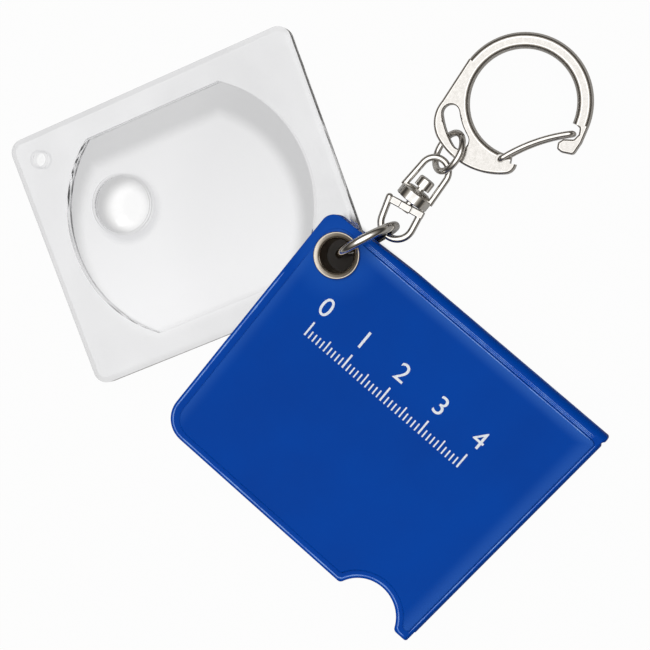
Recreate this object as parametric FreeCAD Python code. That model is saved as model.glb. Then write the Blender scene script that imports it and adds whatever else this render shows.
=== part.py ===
# Pocket magnifier: a vinyl sleeve with a clear lens plate that swings out about a hollow
# eyelet, and a chain of jump ring, swivel and link ring that ends in a ring clip.
# The pieces are drawn round the eyelet's axis at the sleeve's mid-plane, X along the rim
# beside the eyelet, Z out of the front, and then moved so that the origin is the centre of
# the flat back panel. The pose is the photographed one: lens plate out, clip gate shut.
import FreeCAD, Part
import math
import os

Vector = FreeCAD.Vector

# Lens plate
plate_length = 63.7
plate_width = 53.8
plate_thickness = 3.2
plate_margin = 6.4             # eyelet's axis to the plate's two nearest edges
near_edge_tuck = 0.65          # the edge beside the eyelet is drawn in by this much here
near_edge_flare = 0.7          # and stands out by this much at its other end
plate_corner_round = 2.8
plate_open_angle = 61.4        # direction of the plate's long axis when it is out
plate_bevel_width = 1.1
plate_bevel_height = 0.35
lens_radius = 26.3
lens_half_height = 21.35       # the lens is cut off flat above and below
lens_rim_thickness = 0.9
lens_sink = 0.05               # crown of the lens below the plate's face
strong_lens_radius = 6.5
strong_lens_wall = 0.6
strong_lens_along = 18.8       # from the plate's far upper corner
strong_lens_down = 20.9
strong_lens_depth = 0.85
strong_lens_step = 0.08
boss_radius = 2.0
boss_bore_radius = 1.45
boss_height = 0.1
boss_bore_depth = 0.3
boss_from_edges = 5.5

# Sleeve, which the stowed plate fits
shell_wall = 1.15
plate_face_gap = 0.15          # plate to the panels, on each face
plate_to_rim = 0.1             # stowed plate to the top rim
top_rim_wall = 0.9
side_rim_wall = 1.3
side_rim_gap = 3.23            # stowed plate to the leaning rim, at mid-height
side_rim_lean = 3.84           # degrees that the side rim leans outward
side_cover = 0.47              # how far the shells reach past the stowed plate
bottom_cover = 2.62
panel_step = 0.5               # how far the panels stand above the lips
panel_edge_round = 0.35
lip_edge_round = 0.3
side_lip = 2.1                 # widths of the lips round the raised panel
bottom_lip = 1.7
notch_lip = 1.6
top_lip = 2.4
rim_lip = 1.1
top_lean_back = 1.35           # how far the rims' outer faces curve back at the front
rim_lean_back = 0.6
rim_upright_share = 0.33       # of the lip's height that a rim's outer face stands upright
rim_bulge_shares = (0.32, 0.77)
top_rim_pinch = 0.95           # the top rim is pinched in beside the eyelet
pinch_start = -2.0
pinch_end = 15.0
pinch_round = 60.0
top_rim_start = 2.0            # the shells are joined from here on
open_corner_round = 5.5
eyelet_corner_round = 2.9
tip_corner_round = 0.8
panel_corner_round = 4.0
cavity_corner_round = 2.0
rim_end_from_bottom = 2.5      # the side rim stops short of the lower tip
rim_nick_radius = 0.75         # small nick where the two rims meet
rim_nick_from_top = 1.95
thumb_notch_radius = 7.5
thumb_notch_depth = 5.1
thumb_notch_from_rim = 10.48   # its middle from the side rim, at the lower edge
thumb_notch_round = 1.0
dish_depth = 0.2               # the panels are drawn in round the eyelet
dish_radius = 8.8
edge_match_share = 0.01        # of the wall: how closely edges are told apart by place

# Eyelet and its washer
barrel_radius = 3.6
barrel_wall = 0.35
flange_radius = 4.75
flange_crest_radius = 4.15
flange_height = 0.65
flange_bulge_shares = (0.25, 0.7)   # of the barrel's wall, and of the flange's height
funnel_shares = (0.3, 0.3)
roll_lip_share = 0.5
washer_thickness = 0.4
washer_overlap = 0.15          # the washer is this much wider than the flange
eyelet_seat_gap = 0.02
barrel_running_gap = 0.08      # lens plate on the barrel
roll_height = 0.45
roll_width = 0.95

# Jump ring
ring_radius = 6.2              # to the middle of its wire
ring_wire = 0.92
ring_offset = 0.2              # near leg from the eyelet's axis
ring_angle = 67.5
ring_tilt_angle = 0.0

# Swivel: stirrup, pin and yoke
stirrup_angle = 101.5
stirrup_wire = 0.72
stirrup_half_width = 3.33
stirrup_leg = 3.5              # middle of the bow's curve to the middle of the bar
stirrup_leg_lean_angle = 7.0   # the leg that ends in the stub leans outward
stirrup_stub = 0.5             # middle of the wire's end below the bar's top
stirrup_bar_thickness = 1.55
stirrup_bar_round = 0.3
stirrup_past_ring = 0.16       # bow's middle past the jump ring's wire
ring_slack = 0.83              # stirrup's bow from the jump ring's wire
bar_eye_half_width = 1.3       # the bar is swaged out round the pin
bar_eye_half_depth = 1.45
pin_off_middle = 0.2           # pin's hole in the bar from the stirrup's middle
swivel_angle = 91.0
collar_radius = 3.5
collar_height = 2.15
collar_chamfer = 0.15
collar_gap = 0.05              # from the leaning bar, where they come closest
shoulder_inset = 0.3
shoulder_radius = 2.2
shoulder_height = 0.7
pin_radius = 0.8
pin_seat_gap = 0.02
pin_running_gap = 0.05
pin_head_radius = 1.7
pin_head_height = 2.15
pin_head_round = 0.35
pin_play = 0.55                # the pin's head stands this far off the shoulder
pin_tail_radius = 1.1
pin_tail_height = 0.4
pin_tail_proud = 0.05
yoke_wire = 0.66
yoke_half_width = 2.9
yoke_leg = 5.25
yoke_leg_lean_angle = 3.4      # its legs spread towards the collar
yoke_foot_depth = 0.45         # the bow's feet stand this deep in the collar

# Link ring
link_radius = 4.1
link_wire = 0.65
link_angle = 100.0
link_lean_angle = 40.0
link_along = 0.8               # its lower wire from the middle of the yoke's bow
link_across = 0.5

# Clip. Its outlines are points round the ring: the angle, then how far outside the ring's
# outer edge, and for the nose the corner's radius
clip_ring_radius = 13.65
clip_ring_band = 3.2
clip_thickness = 2.6
clip_ring_round = 1.2
clip_slot_outset = 0.5
clip_slot_half_width = 1.7
clip_slot_start = 227.0
clip_slot_end = 250.0
clip_slot_round = 0.35
link_off_slot = 0.35           # the link ring's wire from the slot's middle line
clip_link_angle = 244.5
clip_rim_end = -62.0
clip_nose_start = 16.5
nose_join_angle = 1.0          # its edges stay square this close to the ring
clip_nose_round = 0.5
clip_eye_round = 0.6
eye_outline = ((180.0, -1.64), (180.0, 0.0), (217.4, 2.23), (225.8, 3.67), (240.95, 4.37),
               (261.6, 3.21), (296.3, 0.57), (302.6, -0.69), (302.95, -2.61), (296.8, -2.56))
nose_outline = ((17.97, -3.03, 0.0), (14.63, -1.49, 0.41), (9.24, -1.07, 0.41),
                (3.18, -1.35, 0.41), (-2.57, -2.99, 0.41), (-9.05, -3.24, 0.55),
                (-14.04, -2.39, 0.55), (-12.8, -1.33, 0.68), (-6.61, 0.57, 0.82),
                (4.51, 0.25, 1.09), (18.16, -0.07, 0.0))
gate_wire = 0.55
gate_bend = 0.9                # to the middle of the wire
gate_side_gap = 0.05
gate_hole_gap = 0.05
gate_countersink_radius = 1.0
gate_countersink_depth = 0.35
gate_pivot_place = (-71.71, -1.86)
gate_middle_place = (-32.38, -5.52)
gate_end_place = (7.17, -2.16)

# Overrun of cutting bodies past the faces that they cut
overrun = 20.0

# Places worked out from the sizes
plate_reach = plate_length - plate_margin
plate_drop = plate_width - plate_margin
cavity_height = plate_thickness / 2 + plate_face_gap
half_thickness = cavity_height + shell_wall
lip_height = half_thickness - panel_step
side_x = -plate_margin - side_cover
inner_rim_y = plate_margin + plate_to_rim
top_y = inner_rim_y + top_rim_wall
bottom_y = -plate_drop - bottom_cover
middle_y = (top_y + bottom_y) / 2
side_rim_x = plate_reach + side_rim_gap + side_rim_wall
middle_x = (side_x + side_rim_x) / 2
rim_lean_tangent = math.tan(math.radians(side_rim_lean))
pinched_y = top_y - top_rim_pinch
eyelet_seat = half_thickness - dish_depth
washer_radius = flange_radius + washer_overlap
edge_match = shell_wall * edge_match_share
part_origin = Vector(middle_x, middle_y, -half_thickness)


def direction(angle):
    return Vector(math.cos(math.radians(angle)), math.sin(math.radians(angle)), 0)


def rim_x(y, inset):
    # Place of a line along the leaning rim, its inset measured square to the rim
    square = inset / math.cos(math.radians(side_rim_lean))
    return side_rim_x - square + (y - middle_y) * rim_lean_tangent


notch_x = rim_x(bottom_y, thumb_notch_from_rim)
notch_y = bottom_y + thumb_notch_depth - thumb_notch_radius


def place(shape, origin, x_axis, z_axis):
    y_axis = z_axis.cross(x_axis)
    matrix = FreeCAD.Matrix(x_axis.x, y_axis.x, z_axis.x, origin.x,
                            x_axis.y, y_axis.y, z_axis.y, origin.y,
                            x_axis.z, y_axis.z, z_axis.z, origin.z,
                            0, 0, 0, 1)
    placed = shape.copy()
    placed.Placement = FreeCAD.Placement(matrix).multiply(shape.Placement)
    return placed


def rounded_face(corners):
    # Closed outline through corners (x, y, radius), each rounded by a tangent arc
    count = len(corners)
    starts = []
    ends = []
    middles = []
    for index in range(count):
        x, y, radius = corners[index]
        corner = Vector(x, y, 0)
        before = Vector(corners[index - 1][0], corners[index - 1][1], 0)
        after = Vector(corners[(index + 1) % count][0], corners[(index + 1) % count][1], 0)
        into = (before - corner).normalize()
        out = (after - corner).normalize()
        half = into.getAngle(out) / 2
        reach = radius / math.tan(half)
        bisector = (into + out).normalize()
        starts.append(corner + into * reach)
        ends.append(corner + out * reach)
        middles.append(corner + bisector * (radius / math.sin(half) - radius))
    edges = []
    for index in range(count):
        if corners[index][2] > 0:
            edges.append(Part.Arc(starts[index], middles[index], ends[index]).toShape())
        edges.append(Part.LineSegment(ends[index], starts[(index + 1) % count]).toShape())
    return Part.Face(Part.Wire(edges))


def prism(face, low, high):
    raised = face.copy()
    raised.translate(Vector(0, 0, low))
    return raised.extrude(Vector(0, 0, high - low))


def top_edges(shape, height):
    # Edges that lie flat at one height
    chosen = []
    for edge in shape.Edges:
        box = edge.BoundBox
        if abs(box.ZMin - height) + abs(box.ZMax - height) < edge_match:
            chosen.append(edge)
    return chosen


def round_wire(edges, radius):
    # A round wire bent along edges that join end to end
    path = Part.Wire(edges)
    start = edges[0].valueAt(edges[0].FirstParameter)
    tangent = edges[0].tangentAt(edges[0].FirstParameter)
    profile = Part.Wire(Part.makeCircle(radius, start, tangent))
    return path.makePipeShell([profile], True, False)


def thumb_notch(radius):
    centre = Vector(notch_x, notch_y, -overrun)
    return Part.makeCylinder(radius, 2 * overrun, centre)


def round_notch_corners(blank, radius):
    # The two upright edges where the thumb notch meets the lower edge
    chosen = []
    for edge in blank.Edges:
        box = edge.BoundBox
        upright = box.XLength + box.YLength < edge_match
        reach = math.hypot(box.Center.x - notch_x, box.Center.y - notch_y)
        if upright and abs(reach - radius) < edge_match:
            chosen.append(edge)
    return blank.makeFillet(thumb_notch_round, chosen)


def sleeve_blank():
    # Everything inside the sleeve's outline, up to the lips
    corners = [(side_x, bottom_y, open_corner_round),
               (rim_x(bottom_y, 0), bottom_y, tip_corner_round),
               (rim_x(top_y, 0), top_y, tip_corner_round),
               (pinch_end, top_y, pinch_round),
               (pinch_start, pinched_y, pinch_round),
               (side_x, pinched_y, eyelet_corner_round)]
    blank = prism(rounded_face(corners), 0, lip_height)
    blank = blank.cut(thumb_notch(thumb_notch_radius))
    blank = round_notch_corners(blank, thumb_notch_radius)
    blank = blank.makeFillet(lip_edge_round, top_edges(blank, lip_height))
    nick_y = top_y - rim_nick_from_top
    nick = Vector(rim_x(nick_y, 0) + rim_nick_radius / 2, nick_y, -overrun)
    return blank.cut(Part.makeCylinder(rim_nick_radius, 2 * overrun, nick))


def rim_space(lean_back):
    # Space within a rim whose outer face passes through the X axis: the face is upright
    # at the middle of the sleeve and curves back to the lip
    along = 4 * plate_length
    deep = 2 * plate_length
    face_low = Vector(0, 0, -overrun)
    face_high = Vector(0, 0, lip_height * rim_upright_share)
    bulge = Vector(0, -lean_back * rim_bulge_shares[0], lip_height * rim_bulge_shares[1])
    lip = Vector(0, -lean_back, lip_height)
    top_near = Vector(0, -lean_back - lip_height, 2 * lip_height)
    top_far = Vector(0, -deep, 2 * lip_height)
    low_far = Vector(0, -deep, -overrun)
    edges = [Part.LineSegment(low_far, face_low).toShape(),
             Part.LineSegment(face_low, face_high).toShape(),
             Part.Arc(face_high, bulge, lip).toShape(),
             Part.LineSegment(lip, top_near).toShape(),
             Part.LineSegment(top_near, top_far).toShape(),
             Part.LineSegment(top_far, low_far).toShape()]
    space = Part.Face(Part.Wire(edges)).extrude(Vector(along, 0, 0))
    space.translate(Vector(-along / 2, 0, 0))
    return space


def raised_panel():
    low = bottom_y + bottom_lip
    high = top_y - top_lip
    corners = [(side_x + side_lip, low, panel_corner_round),
               (rim_x(low, rim_lip), low, tip_corner_round),
               (rim_x(high, rim_lip), high, tip_corner_round),
               (side_x + side_lip, high, panel_corner_round)]
    panel = prism(rounded_face(corners), 0, half_thickness)
    panel = panel.cut(thumb_notch(thumb_notch_radius + notch_lip))
    panel = round_notch_corners(panel, thumb_notch_radius + notch_lip)
    return panel.makeFillet(panel_edge_round, top_edges(panel, half_thickness))


def sleeve_cavity():
    # Open on the side by the eyelet, along the bottom, and above the eyelet
    far_side = side_x - overrun
    far_rim = side_rim_x + overrun
    far_low = bottom_y - overrun
    far_high = top_y + overrun
    rim_end_y = bottom_y + rim_end_from_bottom
    corners = [(far_side, far_low, 0),
               (far_rim, far_low, 0),
               (far_rim, rim_end_y, 0),
               (rim_x(rim_end_y, side_rim_wall), rim_end_y, side_rim_wall / 2),
               (rim_x(inner_rim_y, side_rim_wall), inner_rim_y, cavity_corner_round),
               (top_rim_start, inner_rim_y, 0),
               (top_rim_start, far_high, 0),
               (far_side, far_high, 0)]
    return prism(rounded_face(corners), -overrun, cavity_height)


def front_shell():
    top_space = rim_space(top_lean_back)
    top_space.translate(Vector(0, top_y, 0))
    side_space = rim_space(rim_lean_back)
    side_space.rotate(Vector(0, 0, 0), Vector(0, 0, 1), -90 - side_rim_lean)
    side_space.translate(Vector(side_rim_x, middle_y, 0))
    shell = sleeve_blank().common(top_space).common(side_space)
    shell = shell.fuse(raised_panel()).cut(sleeve_cavity())
    hole = Part.makeCylinder(barrel_radius + eyelet_seat_gap, half_thickness)
    dish = Part.makeCone(washer_radius, dish_radius, dish_depth, Vector(0, 0, eyelet_seat))
    return shell.cut(hole).cut(dish).removeSplitter()


def back_shell():
    return front_shell().mirror(Vector(0, 0, 0), Vector(0, 0, 1))


def eyelet():
    # Turned profile: flange on the front, thin barrel, rolled edge behind the washer
    bore = barrel_radius - barrel_wall
    crest = eyelet_seat + flange_height
    throat = eyelet_seat - flange_height
    back = -eyelet_seat - washer_thickness
    roll_back = back - roll_height
    roll_radius = barrel_radius + roll_width
    roll_crest = barrel_radius + roll_width / 2
    funnel_width = flange_crest_radius - bore
    funnel_depth = crest - throat
    points = [Vector(barrel_radius, 0, eyelet_seat), Vector(flange_radius, 0, eyelet_seat),
              Vector(flange_crest_radius, 0, crest), Vector(bore, 0, throat),
              Vector(bore, 0, back), Vector(roll_crest, 0, roll_back),
              Vector(roll_radius, 0, back), Vector(barrel_radius, 0, back)]
    bulge_in = barrel_wall * flange_bulge_shares[0]
    flange_side = Vector(flange_radius - bulge_in, 0,
                         eyelet_seat + flange_height * flange_bulge_shares[1])
    funnel = Vector(bore + funnel_width * funnel_shares[0], 0,
                    crest - funnel_depth * funnel_shares[1])
    roll_deep = back - roll_height * flange_bulge_shares[1]
    roll_side = Vector(roll_radius - bulge_in, 0, roll_deep)
    roll_funnel = Vector(bore + barrel_wall * roll_lip_share, 0, roll_deep)
    edges = [Part.LineSegment(points[0], points[1]).toShape(),
             Part.Arc(points[1], flange_side, points[2]).toShape(),
             Part.Arc(points[2], funnel, points[3]).toShape(),
             Part.LineSegment(points[3], points[4]).toShape(),
             Part.Arc(points[4], roll_funnel, points[5]).toShape(),
             Part.Arc(points[5], roll_side, points[6]).toShape(),
             Part.LineSegment(points[6], points[7]).toShape(),
             Part.LineSegment(points[7], points[0]).toShape()]
    section = Part.Face(Part.Wire(edges))
    return section.revolve(Vector(0, 0, 0), Vector(0, 0, 1), 360)


def eyelet_washer():
    back = -eyelet_seat - washer_thickness
    washer = Part.makeCylinder(washer_radius, washer_thickness, Vector(0, 0, back))
    washer = washer.makeFillet(washer_thickness / 2, top_edges(washer, back))
    hole = Part.makeCylinder(barrel_radius + eyelet_seat_gap, 2 * overrun,
                             Vector(0, 0, -overrun))
    return washer.cut(hole)


def lens_window():
    disc = Part.makeCylinder(lens_radius, 2 * overrun, Vector(0, 0, -overrun))
    band = Part.makeBox(4 * lens_radius, 2 * lens_half_height, 2 * overrun,
                        Vector(-2 * lens_radius, -lens_half_height, -overrun))
    return disc.common(band)


def lens_body():
    # Two shallow caps back to back, cut to the lens outline
    crown = plate_thickness / 2 - lens_sink
    sag = crown - lens_rim_thickness / 2
    curve = (lens_radius ** 2 + sag ** 2) / (2 * sag)
    front_ball = Part.makeSphere(curve, Vector(0, 0, crown - curve))
    back_ball = Part.makeSphere(curve, Vector(0, 0, curve - crown))
    return lens_window().common(front_ball).common(back_ball)


def strong_lens():
    # A wall ring on each face with a dome inside it
    face = plate_thickness / 2 - strong_lens_step
    dome_radius = strong_lens_radius - strong_lens_wall
    floor = face - strong_lens_depth
    curve = (dome_radius ** 2 + strong_lens_depth ** 2) / (2 * strong_lens_depth)
    ring = Part.makeCylinder(strong_lens_radius, 2 * face, Vector(0, 0, -face))
    front_pit = Part.makeCylinder(dome_radius, strong_lens_depth, Vector(0, 0, floor))
    back_pit = Part.makeCylinder(dome_radius, strong_lens_depth, Vector(0, 0, -face))
    front_dome = front_pit.common(Part.makeSphere(curve, Vector(0, 0, face - curve)))
    back_dome = back_pit.common(Part.makeSphere(curve, Vector(0, 0, curve - face)))
    body = ring.cut(front_pit).cut(back_pit)
    return body.fuse(front_dome).fuse(back_dome)


def lens_plate():
    # Drawn with its long axis along X and the eyelet's axis at the origin
    far_x = plate_margin - plate_length
    near_x = plate_margin - near_edge_tuck
    high_y = plate_width - plate_margin
    corners = [(far_x, -plate_margin, plate_corner_round),
               (near_x, -plate_margin, near_x),
               (plate_margin + near_edge_flare, high_y, plate_corner_round),
               (far_x, high_y, plate_corner_round)]
    half = plate_thickness / 2
    plate = prism(rounded_face(corners), -half, half)
    edges = top_edges(plate, half) + top_edges(plate, -half)
    plate = plate.makeChamfer(plate_bevel_height, plate_bevel_width, edges)
    lens_centre = Vector(far_x + plate_length / 2, high_y - plate_width / 2, 0)
    window = lens_window()
    window.translate(lens_centre)
    body = lens_body()
    body.translate(lens_centre)
    plate = plate.cut(window).fuse(body)
    strong_centre = Vector(far_x + strong_lens_along, high_y - strong_lens_down, 0)
    strong = strong_lens()
    strong.translate(strong_centre)
    strong_hole = Part.makeCylinder(strong_lens_radius, 2 * overrun,
                                    strong_centre - Vector(0, 0, overrun))
    plate = plate.cut(strong_hole).fuse(strong)
    boss_place = Vector(far_x + boss_from_edges, high_y - boss_from_edges, 0)
    boss = Part.makeCylinder(boss_radius, boss_height, boss_place + Vector(0, 0, half))
    boss_bore = Part.makeCylinder(boss_bore_radius, overrun,
                                  boss_place + Vector(0, 0, half - boss_bore_depth))
    plate = plate.fuse(boss).cut(boss_bore)
    hole = Part.makeCylinder(barrel_radius + barrel_running_gap, 2 * overrun,
                             Vector(0, 0, -overrun))
    plate = plate.cut(hole).removeSplitter()
    plate.rotate(Vector(0, 0, 0), Vector(0, 0, 1), plate_open_angle)
    return plate


# The jump ring's plane stands along ring_angle and leans by ring_tilt_angle
up = Vector(0, 0, 1)
ring_out = direction(ring_angle)
ring_up = (up * math.cos(math.radians(ring_tilt_angle))
           + up.cross(ring_out) * math.sin(math.radians(ring_tilt_angle)))
ring_normal = ring_out.cross(ring_up)
ring_centre = ring_out * (ring_offset + ring_radius)
ring_far = ring_centre + ring_out * ring_radius


def jump_ring():
    ring = Part.makeTorus(ring_radius, ring_wire)
    return place(ring, ring_centre, ring_out, ring_normal)


# The stirrup's frame: origin in the middle of its bar, u from its bow to the bar. Its legs
# and bow are one wire.
stirrup_u = direction(stirrup_angle)
stirrup_v = stirrup_u.cross(up)
bow_below_ring = ring_wire + ring_slack + stirrup_wire
bar_from_ring = stirrup_leg + stirrup_half_width - bow_below_ring
bar_middle = ring_far + stirrup_v * stirrup_past_ring + stirrup_u * bar_from_ring
bar_half = stirrup_bar_thickness / 2


def in_stirrup(across, along):
    return stirrup_v * across + stirrup_u * along + bar_middle


# The swivel's frame: origin in the middle of the collar, u along the pin. The collar clears
# the bar, which leans against it, by collar_gap at the collar's edge.
swivel_u = direction(swivel_angle)
swivel_v = swivel_u.cross(up)
bar_lean = math.radians(stirrup_angle - swivel_angle)
collar_edge = collar_radius - collar_chamfer
collar_low = (bar_half + collar_gap + collar_edge * math.sin(bar_lean)) / math.cos(bar_lean)
pin_in_bar = in_stirrup(pin_off_middle, 0)
collar_middle = pin_in_bar + swivel_u * (collar_low + collar_height / 2)
yoke_arc_middle = collar_height / 2 + yoke_leg


def in_swivel(across, along):
    return swivel_v * across + swivel_u * along + collar_middle


def pin_tail(gap):
    # The pin's spread end, or with a gap the countersink for it; Z runs along the pin from
    # the middle of the bar
    low = -bar_half / math.cos(bar_lean) - pin_tail_proud
    return Part.makeCone(pin_tail_radius + gap, pin_radius + gap, pin_tail_height,
                         Vector(0, 0, low))


def swivel_stirrup():
    lean = math.radians(stirrup_leg_lean_angle)
    stub_along = bar_half - stirrup_stub
    low_along = -stirrup_leg - stirrup_half_width * math.sin(lean)
    low_across = -stirrup_half_width * math.cos(lean)
    stub_across = low_across - (stub_along - low_along) * math.tan(lean)
    left_top = in_stirrup(stub_across, stub_along)
    left_low = in_stirrup(low_across, low_along)
    bow = in_stirrup(0, -stirrup_leg - stirrup_half_width)
    right_low = in_stirrup(stirrup_half_width, -stirrup_leg)
    right_top = in_stirrup(stirrup_half_width, 0)
    edges = [Part.LineSegment(left_top, left_low).toShape(),
             Part.Arc(left_low, bow, right_low).toShape(),
             Part.LineSegment(right_low, right_top).toShape()]
    wire = round_wire(edges, stirrup_wire)
    stub = Part.makeSphere(stirrup_wire, left_top)
    bar = Part.makeBox(2 * stirrup_half_width + stirrup_wire, stirrup_bar_thickness,
                       2 * stirrup_wire,
                       Vector(-stirrup_half_width, -bar_half, -stirrup_wire))
    bar = bar.makeFillet(stirrup_bar_round, bar.Edges)
    eye = Part.makeBox(2 * bar_eye_half_width, stirrup_bar_thickness,
                       2 * bar_eye_half_depth,
                       Vector(pin_off_middle - bar_eye_half_width, -bar_half,
                              -bar_eye_half_depth))
    eye = eye.makeFillet(stirrup_bar_round, eye.Edges)
    bar = place(bar.fuse(eye), bar_middle, stirrup_v, up)
    bore = Part.makeCylinder(pin_radius + pin_seat_gap, 2 * overrun,
                             Vector(0, 0, -overrun))
    hole = place(bore.fuse(pin_tail(pin_seat_gap)), pin_in_bar, swivel_v, swivel_u)
    return wire.fuse(stub).fuse(bar).cut(hole).removeSplitter()


def swivel_pin():
    # Headed rivet: head inside the yoke, tail spread into the stirrup's bar
    head_low = collar_low + collar_height + shoulder_height + pin_play
    shank = Part.makeCylinder(pin_radius, head_low)
    head = Part.makeCylinder(pin_head_radius, pin_head_height, Vector(0, 0, head_low))
    head = head.makeFillet(pin_head_round, top_edges(head, head_low + pin_head_height))
    tail = pin_tail(0)
    neck = Part.makeCylinder(pin_radius, bar_half, Vector(0, 0, -bar_half))
    pin = shank.fuse(head).fuse(tail).fuse(neck).removeSplitter()
    return place(pin, pin_in_bar, swivel_v, swivel_u)


def swivel_yoke():
    # A bow of wire stands in the collar; the legs run on from the bow at a small angle
    lean = math.radians(yoke_leg_lean_angle)
    foot = collar_height / 2 - yoke_foot_depth
    leg_top = yoke_arc_middle + yoke_half_width * math.sin(lean)
    top_across = yoke_half_width * math.cos(lean)
    foot_across = top_across + (leg_top - foot) * math.tan(lean)
    left_foot = in_swivel(-foot_across, foot)
    left_top = in_swivel(-top_across, leg_top)
    bow = in_swivel(0, yoke_arc_middle + yoke_half_width)
    right_top = in_swivel(top_across, leg_top)
    right_foot = in_swivel(foot_across, foot)
    edges = [Part.LineSegment(left_foot, left_top).toShape(),
             Part.Arc(left_top, bow, right_top).toShape(),
             Part.LineSegment(right_top, right_foot).toShape()]
    wire = round_wire(edges, yoke_wire)
    top = collar_height / 2
    collar = Part.makeCylinder(collar_radius, collar_height, Vector(0, 0, -top))
    collar = collar.makeChamfer(collar_chamfer, top_edges(collar, top) + top_edges(collar, -top))
    shoulder = Part.makeCone(collar_radius - shoulder_inset, shoulder_radius,
                             shoulder_height, Vector(0, 0, top))
    bore = Part.makeCylinder(pin_radius + pin_running_gap, 2 * overrun,
                             Vector(0, 0, -overrun))
    collar = place(collar.fuse(shoulder), collar_middle, swivel_v, swivel_u)
    bore = place(bore, collar_middle, swivel_v, swivel_u)
    bore = bore.common(Part.makeSphere(yoke_leg, collar_middle))
    return wire.fuse(collar).cut(bore).removeSplitter()


# The link ring hangs in the yoke's bow and lies in the clip's slot
link_long = direction(link_angle)
link_side = (link_long.cross(up) * math.sin(math.radians(link_lean_angle))
             + up * math.cos(math.radians(link_lean_angle)))
link_normal = link_long.cross(link_side)
link_low = in_swivel(link_across, yoke_arc_middle + link_along)
link_centre = link_low + link_long * link_radius
link_high = link_low + link_long * (2 * link_radius)


def link_ring():
    ring = Part.makeTorus(link_radius, link_wire)
    return place(ring, link_centre, link_long, link_normal)


clip_slot_radius = clip_ring_radius + clip_slot_outset
clip_centre = link_high - direction(clip_link_angle) * (clip_slot_radius - link_off_slot)


def clip_point(angle, outset):
    return direction(angle) * (clip_ring_radius + outset)


def clip_ring_body():
    # Band of rounded section, from the gate's eye the long way round to the nose
    half = clip_thickness / 2
    inner = clip_ring_radius - clip_ring_band
    section = rounded_face([(inner, -half, clip_ring_round),
                            (clip_ring_radius, -half, clip_ring_round),
                            (clip_ring_radius, half, clip_ring_round),
                            (inner, half, clip_ring_round)])
    section.rotate(Vector(0, 0, 0), Vector(1, 0, 0), 90)
    section.rotate(Vector(0, 0, 0), Vector(0, 0, 1), clip_nose_start)
    sweep = 360 + clip_rim_end - clip_nose_start
    return section.revolve(Vector(0, 0, 0), Vector(0, 0, 1), sweep)


def clip_eye():
    # Flat plate that carries the slot and the gate, with rounded outer edges. The ring's
    # rounded inner side is left clear.
    points = [clip_point(angle, outset) for angle, outset in eye_outline]
    edges = [Part.LineSegment(points[0], points[1]).toShape(),
             Part.LineSegment(points[1], points[2]).toShape(),
             Part.Arc(points[2], points[3], points[4]).toShape(),
             Part.Arc(points[4], points[5], points[6]).toShape(),
             Part.Arc(points[6], points[7], points[8]).toShape(),
             Part.LineSegment(points[8], points[9]).toShape(),
             Part.LineSegment(points[9], points[0]).toShape()]
    half = clip_thickness / 2
    band_middle = clip_ring_radius - clip_ring_band / 2
    eye = prism(Part.Face(Part.Wire(edges)), -half, half)
    eye = eye.cut(Part.makeCylinder(band_middle, 2 * overrun, Vector(0, 0, -overrun)))
    outer = []
    for edge in top_edges(eye, half) + top_edges(eye, -half):
        middle = edge.valueAt((edge.FirstParameter + edge.LastParameter) / 2)
        if math.hypot(middle.x, middle.y) > clip_ring_radius:
            outer.append(edge)
    return eye.makeFillet(clip_eye_round, outer)


def clip_slot():
    inner = clip_slot_radius - clip_slot_half_width
    outer = clip_slot_radius + clip_slot_half_width
    height = 2 * clip_thickness
    ring = Part.makeCylinder(outer, height, Vector(0, 0, -height / 2), Vector(0, 0, 1),
                             clip_slot_end - clip_slot_start)
    ring = ring.cut(Part.makeCylinder(inner, height, Vector(0, 0, -height / 2)))
    ring.rotate(Vector(0, 0, 0), Vector(0, 0, 1), clip_slot_start)
    for angle in (clip_slot_start, clip_slot_end):
        centre = direction(angle) * clip_slot_radius - Vector(0, 0, height / 2)
        ring = ring.fuse(Part.makeCylinder(clip_slot_half_width, height, centre))
    return ring.removeSplitter()


def clip_nose():
    half = clip_thickness / 2
    corners = []
    for angle, outset, radius in nose_outline:
        corner = clip_point(angle, outset)
        corners.append((corner.x, corner.y, radius))
    nose = prism(rounded_face(corners), -half, half)
    outer = []
    for edge in top_edges(nose, half) + top_edges(nose, -half):
        middle = edge.valueAt((edge.FirstParameter + edge.LastParameter) / 2)
        angle = math.degrees(math.atan2(middle.y, middle.x))
        if angle < clip_nose_start - nose_join_angle:
            outer.append(edge)
    return nose.makeFillet(clip_nose_round, outer)


def clip_body():
    half = clip_thickness / 2
    body = clip_ring_body().fuse(clip_eye()).fuse(clip_nose())
    body = body.cut(clip_slot()).removeSplitter()
    slot = clip_slot()
    slot_edges = []
    for edge in top_edges(body, half) + top_edges(body, -half):
        middle = edge.valueAt((edge.FirstParameter + edge.LastParameter) / 2)
        if slot.isInside(middle, edge_match, True):
            slot_edges.append(edge)
    body = body.makeFillet(clip_slot_round, slot_edges)
    pivot = clip_point(*gate_pivot_place)
    hole = Part.makeCylinder(gate_wire + gate_hole_gap, 2 * overrun,
                             pivot - Vector(0, 0, overrun))
    body = body.cut(hole)
    for side in (-1, 1):
        floor = pivot + Vector(0, 0, side * (half - gate_countersink_depth))
        sink = Part.makeCylinder(gate_countersink_radius, overrun, floor,
                                 Vector(0, 0, side))
        body = body.cut(sink)
    body = body.removeSplitter()
    body.translate(clip_centre)
    return body


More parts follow.
